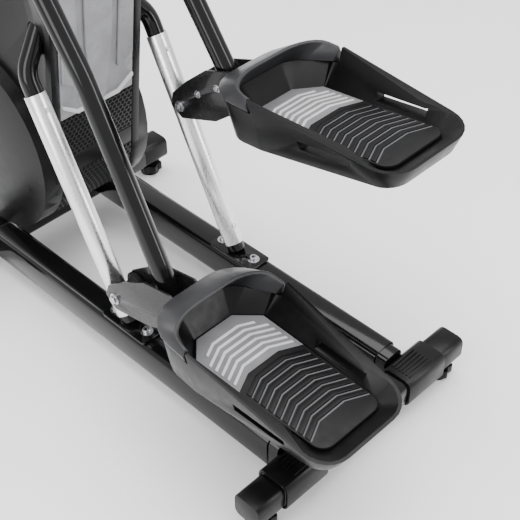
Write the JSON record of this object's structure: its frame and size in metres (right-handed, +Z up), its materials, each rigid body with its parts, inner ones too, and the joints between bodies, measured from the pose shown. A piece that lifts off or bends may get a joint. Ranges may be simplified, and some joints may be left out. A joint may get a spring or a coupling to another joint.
{
  "type": "elliptical trainer",
  "caption": "Compact upright elliptical trainer with steep roller tracks, deep foot pedals, a tall narrow drive housing, swinging handles and a console.",
  "frame": {"origin": "centre of the machine's footprint box, on the floor", "axes": "+X towards the user's right, +Y forwards (the way the user faces), +Z up"},
  "size_m": [0.644, 1.2374, 1.6008],
  "materials": {
    "black_steel": "gloss black paint",
    "zinc": "zinc plated",
    "silver_sleeve": "bright satin",
    "silver_panel": "satin silver",
    "black_plastic": "fine grain black",
    "grey_plastic": "satin grey",
    "soft_pad": "ribbed, matte",
    "rubber": "matte",
    "cast_iron": "as cast",
    "screen": "gloss"
  },
  "bodies": {
    "base": {"base_rail_left": "black_steel", "base_rail_right": "black_steel", "rear_stabiliser": "black_steel", "rear_end_cap_left": "black_plastic", "rear_end_cap_right": "black_plastic", "front_stabiliser": "black_steel", "front_end_cap_left": "black_plastic", "front_end_cap_right": "black_plastic", "rear_stabiliser_sleeve_left": "black_plastic", "rear_stabiliser_sleeve_right": "black_plastic", "guide_tube_left": "black_steel", "track_sleeve_left": "silver_sleeve", "foot_plate_left": "black_steel", "guide_tube_right": "black_steel", "track_sleeve_right": "silver_sleeve", "foot_plate_right": "black_steel", "flywheel_axle": "zinc", "drive_belt": "rubber", "main_frame": "black_steel", "side_shell_left": "black_plastic", "side_shell_right": "black_plastic", "rear_panel": "silver_panel", "upper_vent": "black_plastic", "vent_band": "black_plastic", "lower_vent": "black_plastic", "front_cover": "black_plastic", "mast": "black_steel", "static_handlebar": "black_steel", "console_screen": "screen", "console_housing": "black_plastic"},
    "left_carriage": {"roller_axle_left": "zinc"},
    "left_roller": {"track_roller_left": "black_plastic"},
    "left_leg": {"leg_tube_left": "black_steel", "leg_bracket_left": "black_steel", "pedal_tray_left": "black_plastic", "toe_guard_left": "grey_plastic", "foot_pad_left": "soft_pad"},
    "right_carriage": {"roller_axle_right": "zinc"},
    "right_roller": {"track_roller_right": "black_plastic"},
    "right_leg": {"leg_tube_right": "black_steel", "leg_bracket_right": "black_steel", "pedal_tray_right": "black_plastic", "toe_guard_right": "grey_plastic", "foot_pad_right": "soft_pad"},
    "crank": {"drive_pulley": "black_plastic", "crank_arm_left": "zinc", "crank_arm_right": "zinc"},
    "flywheel_body": {"flywheel": "cast_iron"},
    "brake": {"brake_magnet": "cast_iron"},
    "left_handle": {"handle_arm_left": "black_steel"},
    "right_handle": {"handle_arm_right": "black_steel"},
    "foot_rear_left": {"levelling_foot_rear_left": "black_plastic"},
    "foot_rear_right": {"levelling_foot_rear_right": "black_plastic"},
    "foot_front_left": {"levelling_foot_front_left": "black_plastic"},
    "foot_front_right": {"levelling_foot_front_right": "black_plastic"},
    "wheel_left": {"transport_wheel_left": "rubber"},
    "wheel_right": {"transport_wheel_right": "rubber"},
    "down_key": {"resistance_down_button": "grey_plastic"},
    "start_key": {"start_button": "grey_plastic"},
    "up_key": {"resistance_up_button": "grey_plastic"}
  },
  "joints": [
    {"name": "left_pedal_slide", "type": "slide", "parent": "base", "child": "left_carriage", "axis": [0, 0.4524, 0.8918], "range_m": [0, 0.262]},
    {"name": "right_pedal_slide", "type": "slide", "parent": "base", "child": "right_carriage", "axis": [0, 0.4524, 0.8918], "range_m": [-0.262, 0]},
    {"name": "left_leg_tilt", "type": "hinge", "parent": "left_carriage", "child": "left_leg", "pos_m": [-0.144, -0.0257, 0.1863], "axis": [1, 0, 0], "range_deg": [-9.2, 0]},
    {"name": "right_leg_tilt", "type": "hinge", "parent": "right_carriage", "child": "right_leg", "pos_m": [0.144, 0.09284, 0.41995], "axis": [1, 0, 0], "range_deg": [0, 9.2]},
    {"name": "left_roller_spin", "type": "hinge", "parent": "left_carriage", "child": "left_roller", "pos_m": [-0.144, -0.0257, 0.1863], "axis": [1, 0, 0], "continuous": true},
    {"name": "right_roller_spin", "type": "hinge", "parent": "right_carriage", "child": "right_roller", "pos_m": [0.144, 0.09284, 0.41995], "axis": [1, 0, 0], "continuous": true},
    {"name": "crank_spin", "type": "hinge", "parent": "base", "child": "crank", "pos_m": [0, 0.26448, 0.89855], "axis": [1, 0, 0], "continuous": true},
    {"name": "flywheel_spin", "type": "hinge", "parent": "base", "child": "flywheel_body", "pos_m": [0, 0.4187, 0.308], "axis": [1, 0, 0], "continuous": true},
    {"name": "left_handle_swing", "type": "hinge", "parent": "base", "child": "left_handle", "pos_m": [-0.212, 0.3167, 1.12], "axis": [1, 0, 0], "range_deg": [0, 20]},
    {"name": "right_handle_swing", "type": "hinge", "parent": "base", "child": "right_handle", "pos_m": [0.212, 0.3167, 1.12], "axis": [1, 0, 0], "range_deg": [-20, 0]},
    {"name": "brake_magnet_swing", "type": "hinge", "parent": "base", "child": "brake", "pos_m": [0, 0.48201, 0.15131], "axis": [1, 0, 0], "range_deg": [0, 5]},
    {"name": "levelling_foot_rear_left_screw", "type": "hinge", "parent": "base", "child": "foot_rear_left", "pos_m": [-0.246, -0.4743, 0], "axis": [0, 0, 1], "continuous": true},
    {"name": "levelling_foot_rear_right_screw", "type": "hinge", "parent": "base", "child": "foot_rear_right", "pos_m": [0.246, -0.4743, 0], "axis": [0, 0, 1], "continuous": true},
    {"name": "levelling_foot_front_left_screw", "type": "hinge", "parent": "base", "child": "foot_front_left", "pos_m": [-0.288, 0.4167, 0], "axis": [0, 0, 1], "continuous": true},
    {"name": "levelling_foot_front_right_screw", "type": "hinge", "parent": "base", "child": "foot_front_right", "pos_m": [0.288, 0.4167, 0], "axis": [0, 0, 1], "continuous": true},
    {"name": "transport_wheel_left_spin", "type": "hinge", "parent": "base", "child": "wheel_left", "pos_m": [-0.188, 0.4827, 0.037], "axis": [1, 0, 0], "continuous": true},
    {"name": "transport_wheel_right_spin", "type": "hinge", "parent": "base", "child": "wheel_right", "pos_m": [0.188, 0.4827, 0.037], "axis": [1, 0, 0], "continuous": true},
    {"name": "down_button_press", "type": "slide", "parent": "base", "child": "down_key", "axis": [0, 0.848, -0.5299], "range_m": [0, 0.0015], "stiffness_N_per_m": 400},
    {"name": "start_button_press", "type": "slide", "parent": "base", "child": "start_key", "axis": [0, 0.848, -0.5299], "range_m": [0, 0.0015], "stiffness_N_per_m": 400},
    {"name": "up_button_press", "type": "slide", "parent": "base", "child": "up_key", "axis": [0, 0.848, -0.5299], "range_m": [0, 0.0015], "stiffness_N_per_m": 400}
  ],
  "couplings": [
    {"joint": "right_pedal_slide", "follows": "left_pedal_slide", "ratio": -1},
    {"joint": "left_leg_tilt", "follows": "left_pedal_slide", "rad_per_m": -0.61286},
    {"joint": "right_leg_tilt", "follows": "left_pedal_slide", "rad_per_m": 0.61286},
    {"joint": "left_roller_spin", "follows": "left_pedal_slide", "rad_per_m": -66.667},
    {"joint": "right_roller_spin", "follows": "left_pedal_slide", "rad_per_m": 66.667},
    {"joint": "crank_spin", "follows": "left_pedal_slide", "rad_per_m": 11.991},
    {"joint": "flywheel_spin", "follows": "left_pedal_slide", "rad_per_m": 35.609},
    {"joint": "left_handle_swing", "follows": "left_pedal_slide", "rad_per_m": 1.3323},
    {"joint": "right_handle_swing", "follows": "left_pedal_slide", "rad_per_m": -1.3323}
  ]
}
